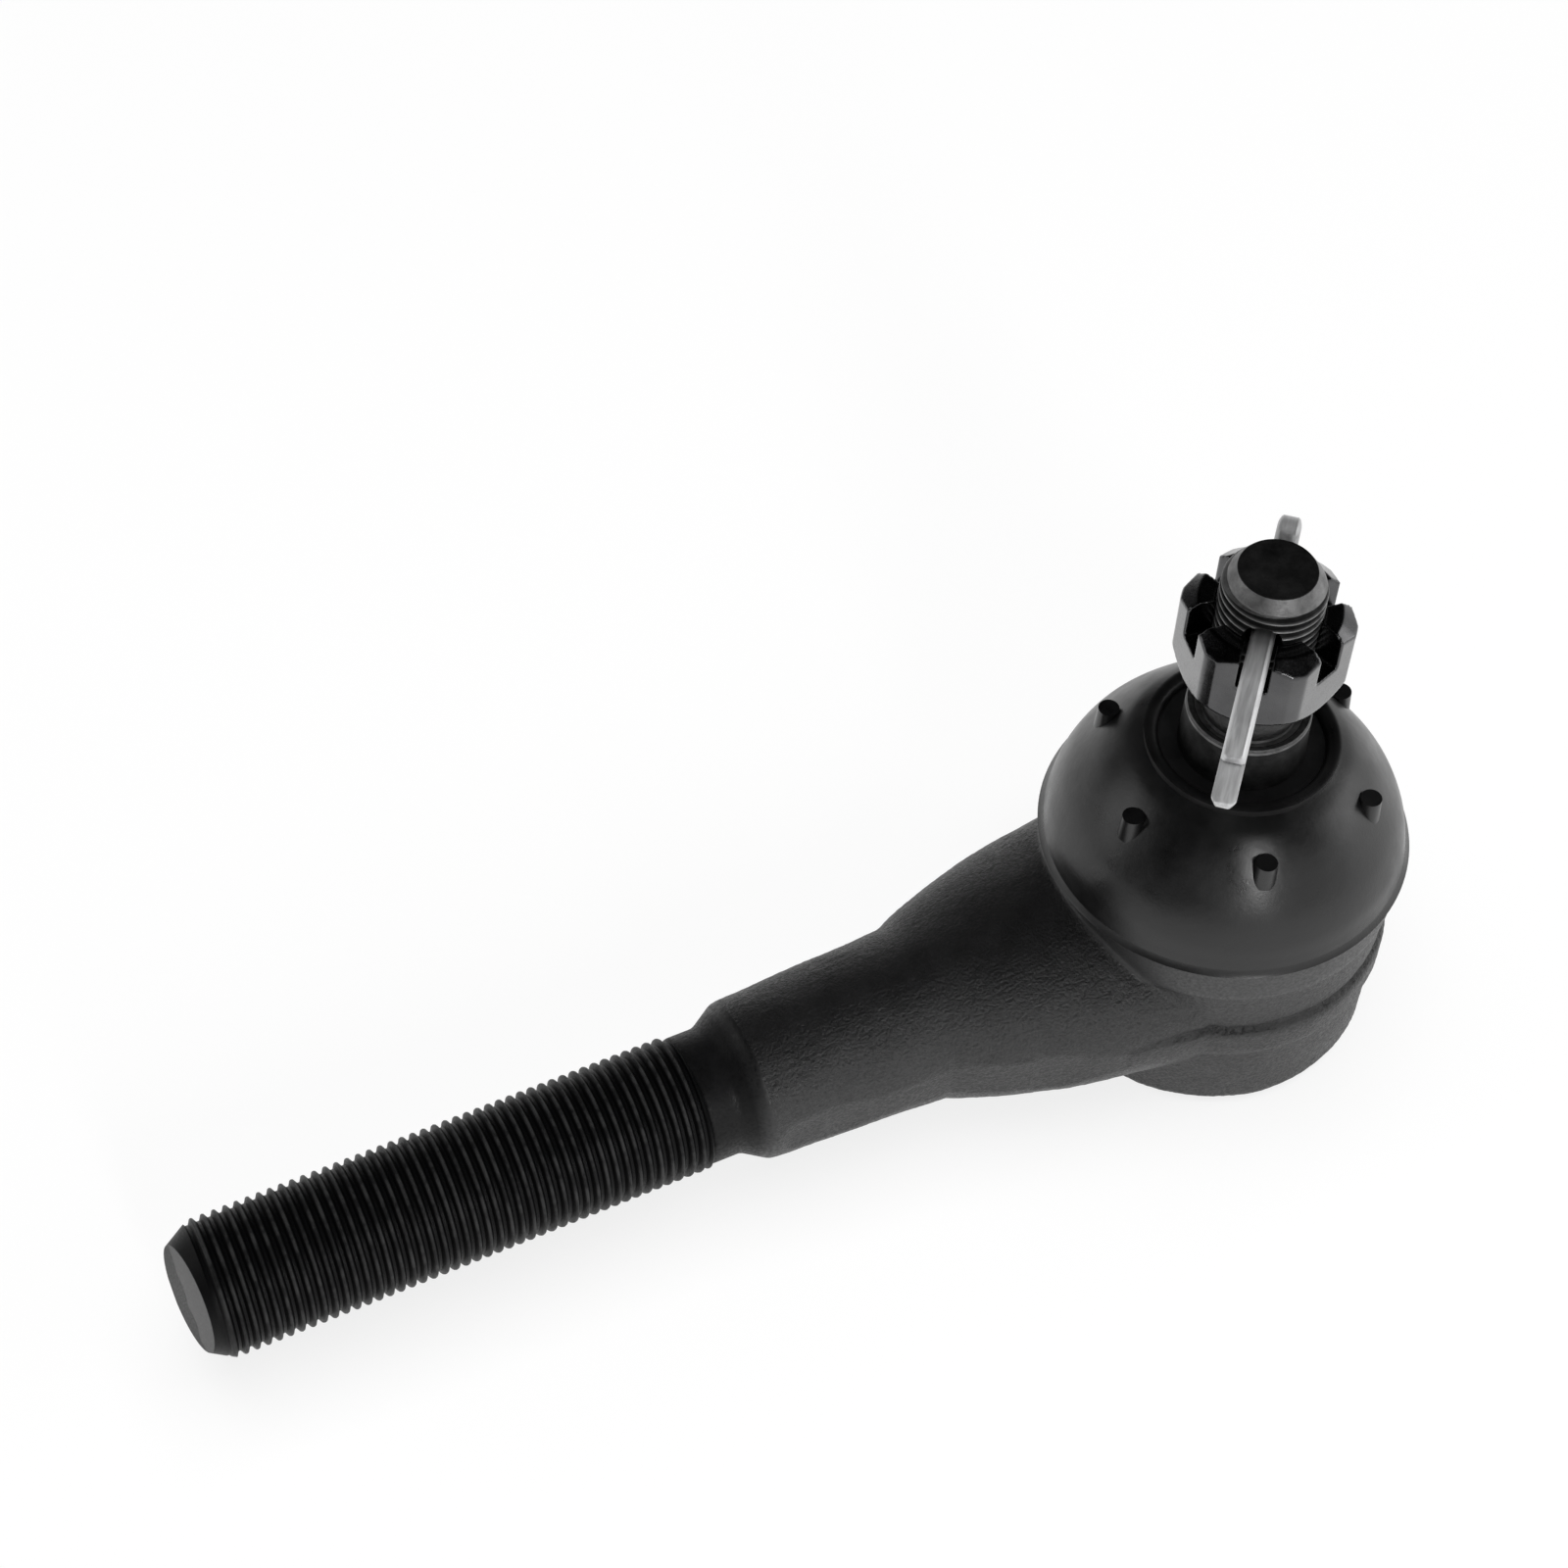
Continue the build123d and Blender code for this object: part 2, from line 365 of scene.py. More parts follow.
def makeThreadPaint():
    # painted thread, worn on its crests, rubbed bright below near the tip, bare on the sheared end
    d = threadLook
    s = Shader("blackThreadPaint")
    grain = s.noise(*d["grain"])
    patch = s.noise(*d["patch"])
    x, y, z = s.split()
    dz = s.math("SUBTRACT", z, rodHeight)
    crest = s.remap(s.across(dz, y), 0, 1, *d["crest"])
    worn = s.product(crest, s.remap(patch, d["crestWear"], 1, *d["crestPatch"]))
    under = s.math("SUBTRACT", s.product(y, d["underY"]), s.product(dz, d["underZ"]))
    tipward = s.remap(x, 1, 0, d["rubbedFrom"] - rodTip, d["rubbedTo"] - rodTip)
    rubbed = s.product(s.remap(under, 0, 1, *d["under"]), tipward,
                       s.remap(patch, 0, 1, *d["rubbedPatch"]))
    colour = s.mix(worn, d["dark"], d["worn"])
    colour = s.mix(rubbed, colour, d["rubbed"])
    near = s.math("SUBTRACT", s.product(dz, sheared["sideZ"]), s.product(y, sheared["sideY"]))
    face = s.product(s.math("ADD", near, sheared["reach"]), math.tan(sheared["slant"]))
    depth = s.math("SUBTRACT", s.math("ADD", x, rodTip), face)
    ragged = s.math("ADD", near, s.product(s.noise(*d["tear"]), d["tearWave"]))
    steel = s.mix(s.remap(ragged, 0, 1, *d["tearEdge"]), d["torn"], d["bare"])
    colour = s.mix(s.math("LESS_THAN", depth, sheared["skin"]), colour, steel)
    s.bump((grain, *d["bump"]))
    return s.set(Base_Color=colour, Roughness=s.remap(grain, *d["rough"]),
                 Metallic=s.product(worn, d["metal"]), Specular_IOR_Level=d["specular"])


rubberLook = {
    "dark": (0.002, 0.002, 0.0021), "light": (0.006, 0.006, 0.0062), "rough": (0.24, 0.42),
    "specular": 0.58, "bloom": (140, 5, 0.6), "skin": (2600, 3, 0.5),
    "bloomBump": (0.15, 0.0006), "skinBump": (0.2, 0.00004)}


def makeBootRubber():
    d = rubberLook
    s = Shader("bootRubber")
    bloom = s.noise(*d["bloom"])
    colour = s.mix(s.remap(bloom, 0, 1), d["dark"], d["light"])
    s.bump((bloom, *d["bloomBump"]), (s.noise(*d["skin"]), *d["skinBump"]))
    return s.set(Base_Color=colour, Roughness=s.remap(bloom, *d["rough"]),
                 Specular_IOR_Level=d["specular"])


steelLook = {"detail": (5, 0.65), "cloud": (230, 4, 0.6), "bump": (0.25, 0.00005), "coatRough": 0.2}


def makeSteel(name, dark, light, rough, metallic=1.0, grainScale=1800, coat=0.0):
    d = steelLook
    s = Shader(name)
    marks = s.noise(grainScale, *d["detail"])
    colour = s.mix(s.remap(s.noise(*d["cloud"]), 0, 1), dark, light)
    s.bump((marks, *d["bump"]))
    return s.set(Base_Color=colour, Roughness=s.remap(marks, *rough), Metallic=metallic,
                 Coat_Weight=coat, Coat_Roughness=d["coatRough"])


studLook = {
    "dark": grey(0.010), "light": grey(0.040), "worn": grey(0.30), "rough": (0.38, 0.6),
    "metal": 0.85, "marks": (1500, 5, 0.7), "drawn": (1, 1, 5), "cloud": (420, 5, 0.65),
    "bump": (0.45, 0.00006),
    "threadFrom": 68 * mm, "hub": 4.75 * mm, "crest": (6.05 * mm, 6.35 * mm),
    "chamfer": 2.3 * mm, "chamferWear": 0.8, "wearLow": 0.35,
    "edge": (54.25 * mm, 54.65 * mm), "edgeWear": (0.3, 0.9),
    "scuffed": (54.7 * mm, 62 * mm), "scuffWear": 0.45}


def makeStudSteel():
    # dark heat-treated steel, rubbed bright on the chamfer, the thread's crests, the taper's
    # small end and under the nut
    d = studLook
    s = Shader("studSteel")
    marks = s.noise(*d["marks"], d["drawn"])
    cloud = s.noise(*d["cloud"])
    x, y, z = s.split()
    across = s.across(x, y)
    crest = s.remap(across, 0, 1, *d["crest"])
    chamfer = s.product(s.math("GREATER_THAN", z, studTop - d["chamfer"]), d["chamferWear"])
    rubbed = s.product(s.math("MAXIMUM", crest, chamfer), s.remap(cloud, d["wearLow"], 1),
                       s.math("GREATER_THAN", z, d["threadFrom"]),
                       s.math("GREATER_THAN", across, d["hub"]))
    edge = s.product(s.between(z, *d["edge"]), s.remap(cloud, *d["edgeWear"]))
    scuffed = s.product(s.between(z, *d["scuffed"]), s.remap(marks, 0, d["scuffWear"]))
    worn = s.math("MAXIMUM", s.math("MAXIMUM", rubbed, edge), scuffed)
    plain = s.mix(s.remap(cloud, 0, 1), d["dark"], d["light"])
    s.bump((marks, *d["bump"]))
    return s.set(Base_Color=s.mix(worn, plain, d["worn"]), Roughness=s.remap(marks, *d["rough"]),
                 Metallic=d["metal"])


zincLook = {
    # the dark colour mixed in near the stud is painted shade with some grime
    "dark": (0.46, 0.46, 0.465), "light": (0.74, 0.745, 0.75), "shadeAndGrime": grey(0.05),
    "rough": (0.36, 0.58), "metal": 0.65, "lines": (1500, 4, 0.6), "drawn": (0.12, 1, 1),
    "bump": (0.3, 0.00006), "litAndClean": (7 * mm, 13 * mm), "litAndCleanLow": 0.25}


def makeZinc():
    # plated wire, drawn lengthways, with painted shade and some grime where it passes through the
    # stud
    d = zincLook
    s = Shader("zincPlate")
    turned = s.node("ShaderNodeMapping", vector_type="TEXTURE", Rotation=(0, 0, pinHeading))
    s.link(s.coords.outputs["Object"], turned.inputs["Vector"])
    along = turned.outputs["Vector"]
    lines = s.noise(*d["lines"], d["drawn"], along)
    # painted shade and grime: the wire darkens towards the stud's axis, fading out between 7 and 13
    # mm along it
    litAndClean = s.remap(s.math("ABSOLUTE", s.split(along)["X"]), d["litAndCleanLow"], 1, *d["litAndClean"])
    plate = s.mix(s.remap(lines, 0, 1), d["dark"], d["light"])
    s.bump((lines, *d["bump"]))
    return s.set(Base_Color=s.mix(litAndClean, d["shadeAndGrime"], plate), Metallic=d["metal"],
                 Roughness=s.remap(lines, *d["rough"]))


print("finishes")
forgingPaint = makeForgingPaint()
threadPaint = makeThreadPaint()
bootRubber = makeBootRubber()
studSteel = makeStudSteel()
nutSteel = makeSteel("nutSteel", (0.035, 0.035, 0.037), (0.06, 0.06, 0.062), (0.16, 0.32),
                     coat=0.8)
zincPlate = makeZinc()
stampedSteel = makeSteel("stampedSteel", (0.006, 0.006, 0.0062), (0.014, 0.014, 0.0144),
                         (0.4, 0.55), metallic=0.3)
bearingMetal = makeSteel("bearingMetal", grey(0.14), (0.24, 0.24, 0.235), (0.45, 0.6),
                         grainScale=5200)
springSteel = makeSteel("springSteel", (0.22, 0.22, 0.23), (0.34, 0.34, 0.35), (0.25, 0.4))


class NodeTree:
    def __init__(self, name, floats, whole):
        self.tree = bpy.data.node_groups.new(name, "GeometryNodeTree")
        sockets = self.tree.interface
        sockets.new_socket("Geometry", in_out="OUTPUT", socket_type="NodeSocketGeometry")
        self.ids = {}
        for kind, inputs in (("NodeSocketFloat", floats), ("NodeSocketInt", whole)):
            for label, value in inputs.items():
                socket = sockets.new_socket(label, in_out="INPUT", socket_type=kind)
                socket.default_value = value
                self.ids[label] = socket.identifier
        paint = sockets.new_socket("Material", in_out="INPUT", socket_type="NodeSocketMaterial")
        self.ids["Material"] = paint.identifier
        self.source = self.tree.nodes.new("NodeGroupInput")
        self.sink = self.tree.nodes.new("NodeGroupOutput")

    def value(self, label):
        return self.source.outputs[label]

    def node(self, kind, settings=None, **inputs):
        made = self.tree.nodes.new(kind)
        for key, value in (settings or {}).items():
            setattr(made, key, value)
        for key, value in inputs.items():
            self.feed(made.inputs[key.replace("_", " ")], value)
        return made

    def feed(self, socket, value):
        if hasattr(value, "is_output"):
            self.tree.links.new(value, socket)
        else:
            socket.default_value = value

    def math(self, operation, *values):
        made = self.tree.nodes.new("ShaderNodeMath")
        made.operation = operation
        for socket, value in zip(made.inputs, values):
            self.feed(socket, value)
        return made.outputs[0]

    def finish(self, geometry):
        real = self.node("GeometryNodeRealizeInstances", Geometry=geometry).outputs[0]
        paint = self.node("GeometryNodeSetMaterial", Geometry=real,
                          Material=self.value("Material"))
        self.tree.links.new(paint.outputs[0], self.sink.inputs[0])

    def build(self, name, values):
        piece = meshObject(name, bpy.data.meshes.new(name))
        modifier = piece.modifiers.new(self.tree.name, "NODES")
        modifier.node_group = self.tree
        for label, value in values.items():
            modifier[self.ids[label]] = value
        return onlyMaterial(bakeModifiers(piece), values["Material"])


def makeThreadTree():
    # a grid rolled into a tube along +Z; its rows follow the helix, and both ends are coned
    # down to flat faces
    t = NodeTree("screwThread", {
        "Length": 0.02, "Pitch": 0.00127, "Major Radius": 0.00635, "Depth": 0.0007,
        "Start Radius": 0.005, "Start Slope": 1.0, "End Radius": 0.0055, "End Slope": 1.0,
        "Crest": 0.14, "Root": 0.25}, {"Turns": 12, "Per Turn": 10, "Sides": 72})
    length, pitch, major = t.value("Length"), t.value("Pitch"), t.value("Major Radius")
    rows = t.math("ADD", t.math("MULTIPLY", t.value("Turns"), t.value("Per Turn")), 1)
    grid = t.node("GeometryNodeMeshGrid", Size_X=1.0, Size_Y=1.0, Vertices_X=rows,
                  Vertices_Y=t.math("ADD", t.value("Sides"), 1))
    position = t.node("GeometryNodeInputPosition").outputs[0]
    place = t.node("ShaderNodeSeparateXYZ", Vector=position)
    along = t.math("ADD", place.outputs["X"], 0.5)
    turn = t.math("ADD", place.outputs["Y"], 0.5)
    run = t.math("MULTIPLY", along, t.math("MULTIPLY", t.value("Turns"), pitch))
    height = t.math("SUBTRACT", run, t.math("MULTIPLY", pitch, turn))
    height = t.math("MAXIMUM", 0.0, t.math("MINIMUM", length, height))
    phase = t.math("FRACT", t.math("DIVIDE", run, pitch))
    tooth = t.math("ABSOLUTE", t.math("SUBTRACT", t.math("MULTIPLY", phase, 2.0), 1.0))
    flank = t.math("SUBTRACT", t.math("SUBTRACT", 1.0, t.value("Crest")), t.value("Root"))
    drop = t.math("DIVIDE", t.math("SUBTRACT", tooth, t.value("Crest")), flank)
    drop = t.math("MAXIMUM", 0.0, t.math("MINIMUM", 1.0, drop))
    radius = t.math("SUBTRACT", major, t.math("MULTIPLY", drop, t.value("Depth")))
    startRise = t.math("MULTIPLY", height, t.value("Start Slope"))
    start = t.math("ADD", t.value("Start Radius"), startRise)
    left = t.math("SUBTRACT", length, height)
    end = t.math("ADD", t.value("End Radius"), t.math("MULTIPLY", left, t.value("End Slope")))
    radius = t.math("MINIMUM", radius, t.math("MINIMUM", start, end))
    angle = t.math("MULTIPLY", turn, 2 * math.pi)
    spot = t.node("ShaderNodeCombineXYZ", X=t.math("MULTIPLY", radius, t.math("COSINE", angle)),
                  Y=t.math("MULTIPLY", radius, t.math("SINE", angle)), Z=height)
    tube = t.node("GeometryNodeSetPosition", Geometry=grid.outputs["Mesh"],
                  Position=spot.outputs[0])
    whole = t.node("GeometryNodeJoinGeometry")
    t.tree.links.new(tube.outputs[0], whole.inputs[0])
    for label, lift in (("Start Radius", 0.0), ("End Radius", length)):
        cap = t.node("GeometryNodeMeshCircle", {"fill_type": "TRIANGLE_FAN"},
                     Vertices=t.value("Sides"), Radius=t.value(label))
        shift = t.node("ShaderNodeCombineXYZ", Z=lift)
        moved = t.node("GeometryNodeTransform", Geometry=cap.outputs[0],
                       Translation=shift.outputs[0])
        t.tree.links.new(moved.outputs[0], whole.inputs[0])
    merged = t.node("GeometryNodeMergeByDistance", Geometry=whole.outputs[0], Distance=2e-6)
    t.finish(merged.outputs[0])
    return t


threadTree = makeThreadTree()


def screwThread(name, material, **values):
    # whole rows to a turn, so the seam closes
    labels = {key.replace("_", " "): value for key, value in values.items()}
    turns = math.ceil(values["Length"] / values["Pitch"]) + 1
    piece = threadTree.build(name, {**labels, "Turns": turns, "Material": material})
    cleanMesh(piece.data, 3e-6)
    return piece


def cutAway(piece, outline, matrix=Matrix(), sides=40):
    # takes a turned shape out of the piece
    material = piece.data.materials[0]
    cutter = lathe("cutter", outline, material, sides)
    cutter.data.transform(matrix)
    modifier = piece.modifiers.new("cut", "BOOLEAN")
    modifier.object = cutter
    modifier.solver = "EXACT"
    onlyMaterial(bakeModifiers(piece), material)
    bpy.data.objects.remove(cutter)


# lengths in trimFlash and armRadius are in millimetres, with x counted along the arm
forging = {
    "voxel": 0.00043, "softenSteps": 1, "cutX": -0.0752,
    "waves": (110, 260), "waviness": 0.00016, "pitScale": 1500, "pits": 0.00006,
    "armX": [12, 27, 36, 43.5, 67.7], "armHalf": [19.6, 17.25, 14.75, 11.6, 10.35],
    "armFade": (22, 30), "armEnd": (67.5, 65),
    "wanderScale": 0.11, "raggedScale": 0.6,
    "flashCut": 0.45, "flashWander": 0.3, "flashRagged": 0.06,
    "socketRadius": 21.4, "socketTop": 24,
    "landLow": 12.0, "landHigh": 16.8, "landWander": 0.5, "landRagged": 0.12, "landProud": 0.3,
    "crease": 0.6, "armRootX": (14, 17), "armRootY": (19.5, 17.5),
    "boreRadius": 21 * mm, "boreX": -20 * mm, "boreZ": 1 * mm,
    "collarRadius": 24 * mm, "collarBelow": 6.3 * mm, "neckX": -67 * mm}


def makeForging():
    print("forging")
    piece = meshObject("socketForging", nodes["socket_housing"].data.copy())
    cleanMesh(piece.data)
    bm = bmesh.new()
    bm.from_mesh(piece.data)
    geometry = bm.verts[:] + bm.edges[:] + bm.faces[:]
    cut = bmesh.ops.bisect_plane(bm, geom=geometry, plane_co=(forging["cutX"], 0, 0),
                                 plane_no=(-1, 0, 0), clear_outer=True)
    rim = [e for e in cut["geom_cut"] if isinstance(e, bmesh.types.BMEdge)]
    bmesh.ops.holes_fill(bm, edges=rim)
    bmesh.ops.triangulate(bm, faces=bm.faces)
    bm.to_mesh(piece.data)
    bm.free()
    remeshSoft(piece, forging["voxel"], forging["softenSteps"], forgingPaint)
    roughen(piece.data)
    shadeSmooth(piece.data)
    return piece


def smoothStep(low, high, value):
    # rises from 0 at low to 1 at high; falls when low is above high
    u = min(max((value - low) / (high - low), 0), 1)
    return u * u * (3 - 2 * u)


def armRadius(x):
    # half width of the arm at a distance from the stud's axis
    return float(np.interp(x, forging["armX"], forging["armHalf"]))


def trimFlash(co):
    # flat strips left along the arm and round the socket where the flash was cut off
    d = forging
    x, y, z = -co.x / mm, co.y / mm, co.z / mm
    across = math.hypot(x, y)
    wander = noise.noise(Vector((x * d["wanderScale"], y * d["wanderScale"], 3)))
    ragged = noise.noise(Vector((x * d["raggedScale"], y * d["raggedScale"], 7)))
    if d["armFade"][0] < x < d["armEnd"][0]:
        depth = d["flashCut"] + d["flashWander"] * wander + d["flashRagged"] * ragged
        depth *= smoothStep(*d["armFade"], x) * smoothStep(*d["armEnd"], x)
        keep = armRadius(x) - depth
        if abs(y) > keep:
            y = math.copysign(keep, y)
    elif across > d["socketRadius"] and z < d["socketTop"]:
        low = d["landLow"] + d["landWander"] * wander
        high = d["landHigh"] + d["landWander"] * wander + d["landRagged"] * ragged
        rise = smoothStep(low - 0.35, low + 0.1, z) * (1 - smoothStep(high - 0.05, high + 0.3, z))
        crease = smoothStep(high, high + 0.3, z) * (1 - smoothStep(high + 0.4, high + 1.3, z))
        fade = 1 - smoothStep(*d["armRootX"], x) * smoothStep(*d["armRootY"], abs(y))
        grow = 1 + fade * (d["landProud"] * rise - d["crease"] * crease) / across
        x, y = x * grow, y * grow
    return Vector((-x * mm, y * mm, z * mm))


def roughen(mesh):
    # rolling surface of a hammered forging, kept off the turned collar, the neck and the bores
    d = forging
    collarLow = retainerFoot - d["collarBelow"]
    normals = [v.normal.copy() for v in mesh.vertices]
    for v, n in zip(mesh.vertices, normals):
        across = math.hypot(v.co.x, v.co.y)
        inside = across < d["boreRadius"] and v.co.x > d["boreX"] and d["boreZ"] < v.co.z
        turned = across < d["collarRadius"] and v.co.z > collarLow
        if inside or turned or v.co.x < d["neckX"]:
            continue
        v.co = trimFlash(v.co)
        wave = noise.noise(v.co * d["waves"][0]) + 0.5 * noise.noise(v.co * d["waves"][1])
        pit = noise.noise(v.co * d["pitScale"])
        v.co += n * (wave * d["waviness"] + pit * d["pits"])


socketForging = makeForging()
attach(socketForging, "housing")
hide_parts("socket_housing")


shank = {"start": 74.6, "major": 8.731, "pitch": 25.4 / 18, "depth": 0.66, "face": 6.3,
         "tipSlope": 0.6, "innerFace": 7.8, "sharp": 28,
         "cutter": [(0, 0), (16, 0), (16, 4), (0, 4)]}


def makeShankThread():
    print("shank thread")
    d = shank
    piece = screwThread("shankThread", threadPaint, Length=rodTip - d["start"] * mm,
                        Pitch=d["pitch"] * mm, Major_Radius=d["major"] * mm,
                        Depth=d["depth"] * mm, Start_Radius=d["face"] * mm,
                        Start_Slope=d["tipSlope"], End_Radius=d["innerFace"] * mm,
                        End_Slope=1.0, Per_Turn=8, Sides=80, Crest=0.2, Root=0.28)
    sideY, sideZ, reach = sheared["sideY"], sheared["sideZ"], sheared["reach"]
    lean = Matrix.Rotation(math.pi - sheared["slant"], 4, (sideY, -sideZ, 0))
    hinge = Matrix.Translation((sideZ * reach, sideY * reach, 0))
    cutAway(piece, d["cutter"], hinge @ lean, sides=64)
    lay = Matrix.Rotation(math.radians(90), 4, "Y")
    piece.data.transform(Matrix.Translation((-rodTip, 0, rodHeight)) @ lay)
    shadeSmooth(piece.data, d["sharp"])
    return piece


shankThread = makeShankThread()
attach(shankThread, "housing")


stud = {
    "ball": 12.0, "ballHeight": 17.0, "ballSteps": 24, "neckFoot": 30, "neck": 6.5,
    "neckTop": 36.2, "taperStart": 38.6, "taperEnd": 54.5, "small": 6.85, "slope": 1 / 16,
    "shoulder": 6.6, "shoulderTop": 60.8, "step": 0.35, "bevel": 0.7,
    "major": 6.35, "pitch": 1.27, "depth": 0.74, "face": 4.7, "chamfer": 2.5, "root": 5.4,
    "sharp": 28,
    "centre": [(0, -1), (2.6, -1), (2.6, 0), (1.9, 0.18), (1.0, 0.34), (0, 0.4)],
    "drill": [(0, -12), (5, -12), (3.0, -6.6), (2.1, -5.0), (2.1, 5.0), (3.0, 6.6), (5, 12),
              (0, 12)]}


def makeStud():
    print("ball stud")
    d = stud
    joinHeight = math.sqrt(d["ball"] ** 2 - d["neck"] ** 2)
    sweep = math.atan2(joinHeight, d["neck"]) + math.pi / 2
    outline = []
    for i in range(d["ballSteps"] + 1):
        a = -math.pi / 2 + sweep * i / d["ballSteps"]
        outline.append((d["ball"] * math.cos(a), d["ballHeight"] + d["ball"] * math.sin(a)))
    wide = d["small"] + (d["taperEnd"] - d["taperStart"]) * d["slope"]
    top = d["shoulderTop"] + d["bevel"]
    upper = roundCorners([
        (0, d["neckFoot"]), (d["neck"], d["neckFoot"]), (d["neck"], d["neckTop"], 1.2),
        (wide, d["taperStart"], 0.6), (d["small"], d["taperEnd"], 0.12),
        (d["shoulder"], d["taperEnd"] + d["step"], 0.1), (d["shoulder"], d["shoulderTop"], 0.25),
        (d["root"], top), (0, top)])
    outline += [tuple(p) for p in upper[1:]]
    shaft = lathe("ballStud", outline, studSteel, 128)
    thread = screwThread("studThread", studSteel, Length=studTop - d["shoulderTop"] * mm,
                         Pitch=d["pitch"] * mm, Major_Radius=d["major"] * mm,
                         Depth=d["depth"] * mm, Start_Radius=d["face"] * mm,
                         Start_Slope=(d["major"] - d["face"]) / d["chamfer"],
                         End_Radius=d["root"] * mm, End_Slope=1.0, Per_Turn=10, Sides=96)
    cutAway(thread, d["centre"])
    over = Matrix.Rotation(math.pi, 4, "X")
    thread.data.transform(Matrix.Translation((0, 0, studTop)) @ over)
    across = Matrix.Rotation(pinHeading, 4, "Z") @ Matrix.Rotation(math.radians(90), 4, "Y")
    cutAway(thread, d["drill"], Matrix.Translation((0, 0, pinHeight)) @ across)
    shadeSmooth(thread.data, d["sharp"])
    return joinInto(shaft, thread)


ballStud = makeStud()
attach(ballStud, "stud")
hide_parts("ball_stud")


boot = {
    "outline": [(23.05, 31.15), (22.8, 32.4), (22.2, 34.9), (20.85, 38.1), (18.8, 41.3),
                (16.5, 44.3), (14.2, 46.6), (12.1, 47.95)],
    "top": [(12.1, 47.95), (11.65, 48.25, 0.12), (11.25, 48.2, 0.1), (11.25, 46.65),
            (8.0, 46.65), (8.0, 44.0), (11.6, 44.0)],
    "foot": [(20.7, 33.6), (20.7, 31.05), (22.95, 31.05, 0.06), (23.05, 31.15)],
    "steps": 8, "wall": 1.5, "drop": 1.0, "innerFrom": 16, "innerTo": 49,
    "nibs": 6, "nibCircle": 17.1, "nibRadius": 1.35, "nibTop": 45.3, "nibHeight": 3.6,
    "nibStart": 10.6, "nibTaper": 1.18}


def smoothRun(points, steps):
    # Catmull-Rom curve through the points
    run = []
    padded = [points[0], *points, points[-1]]
    for k in range(1, len(padded) - 2):
        p0, p1, p2, p3 = (np.array(p, float) for p in padded[k - 1:k + 3])
        for i in range(steps):
            u = i / steps
            bend = (2 * p0 - 5 * p1 + 4 * p2 - p3) * u ** 2
            twist = (3 * p1 - p0 - 3 * p2 + p3) * u ** 3
            run.append(tuple(0.5 * (2 * p1 + (p2 - p0) * u + bend + twist)))
    return run + [tuple(points[-1])]


def makeNibTree():
    # stems on a circle, from their base height up
    t = NodeTree("bootNibs", {"Circle": 0.017, "Radius": 0.0013, "Taper": 1.18, "Height": 0.004,
                              "Base": 0.04, "Start": 0.0}, {"Count": 6})
    circle = t.node("GeometryNodeMeshCircle", Vertices=t.value("Count"),
                    Radius=t.value("Circle"))
    turn = t.node("ShaderNodeCombineXYZ", Z=t.value("Start"))
    lift = t.node("ShaderNodeCombineXYZ", Z=t.value("Base"))
    placed = t.node("GeometryNodeTransform", Geometry=circle.outputs[0],
                    Translation=lift.outputs[0], Rotation=turn.outputs[0])
    root = t.math("MULTIPLY", t.value("Radius"), t.value("Taper"))
    stem = t.node("GeometryNodeMeshCone", Vertices=28, Side_Segments=6, Fill_Segments=3,
                  Radius_Top=t.value("Radius"), Radius_Bottom=root, Depth=t.value("Height"))
    nibs = t.node("GeometryNodeInstanceOnPoints", Points=placed.outputs[0],
                  Instance=stem.outputs[0])
    t.finish(nibs.outputs[0])
    return t


def makeBoot():
    print("dust boot")
    d = boot
    outer = smoothRun(d["outline"], d["steps"])
    lining = outer[d["innerFrom"]:d["innerTo"]]
    inner = [(r - d["wall"], z - d["drop"]) for r, z in lining][::-1]
    top = [tuple(p) for p in roundCorners(d["top"])[1:]]
    foot = [tuple(p) for p in roundCorners(d["foot"])[:-1]]
    body = lathe("dustBoot", outer + top + inner + foot, bootRubber, 128, 50)
    nibs = makeNibTree().build("nibs", {
        "Count": d["nibs"], "Circle": d["nibCircle"] * mm, "Radius": d["nibRadius"] * mm,
        "Taper": d["nibTaper"], "Height": d["nibHeight"] * mm,
        "Base": (d["nibTop"] - d["nibHeight"]) * mm, "Start": math.radians(d["nibStart"]),
        "Material": bootRubber})
    shadeSmooth(nibs.data, 40)
    return joinInto(body, nibs)


dustBoot = makeBoot()
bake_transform(dustBoot)
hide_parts("dust_boot")


nut = {"voxel": 0.00019, "softenSteps": 4}


def makeNut():
    print("castle nut")
    piece = meshObject("castleNut", nodes["castle_nut"].data.copy())
    cleanMesh(piece.data)
    remeshSoft(piece, nut["voxel"], nut["softenSteps"], nutSteel)
    shadeSmooth(piece.data)
    return piece


castleNut = makeNut()
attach(castleNut, "nut")
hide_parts("castle_nut")


pin = {
    "wire": 1.45, "gap": 0.05, "long": 29.6, "short": 24.2,
    "eyeStart": 9.9, "eyeReach": 12.6, "eyeHalf": 2.8, "eyeSweep": 140, "eyeSteps": 24,
    "eyeInsetX": 0.1, "eyeInsetZ": 1.3, "steps": 14, "bulge": 1.25, "crown": 0.9,
    "tip": 0.55, "tipScale": 0.72, "bevel": 0.12, "sharp": 35}


def cotterPath():
    # centre line of the half-round wire in the pin's own plane: x towards the eye, z up
    d = pin
    lift, throat = d["gap"], d["eyeStart"] - 1.0
    path = [(x, -lift) for x in (-d["long"], -20.0, -10.0, 0.0, throat)]
    middle = (d["eyeStart"] + d["eyeReach"]) / 2
    halfLength = (d["eyeReach"] - d["eyeStart"]) / 2 - d["eyeInsetX"]
    halfHeight = d["eyeHalf"] - d["eyeInsetZ"]
    for i in range(d["eyeSteps"] + 1):
        a = math.radians(d["eyeSweep"] * (2 * i / d["eyeSteps"] - 1))
        path.append((middle + halfLength * math.cos(a), halfHeight * math.sin(a)))
    return path + [(x, lift) for x in (throat, 0.0, -10.0, -18.0, -d["short"])]


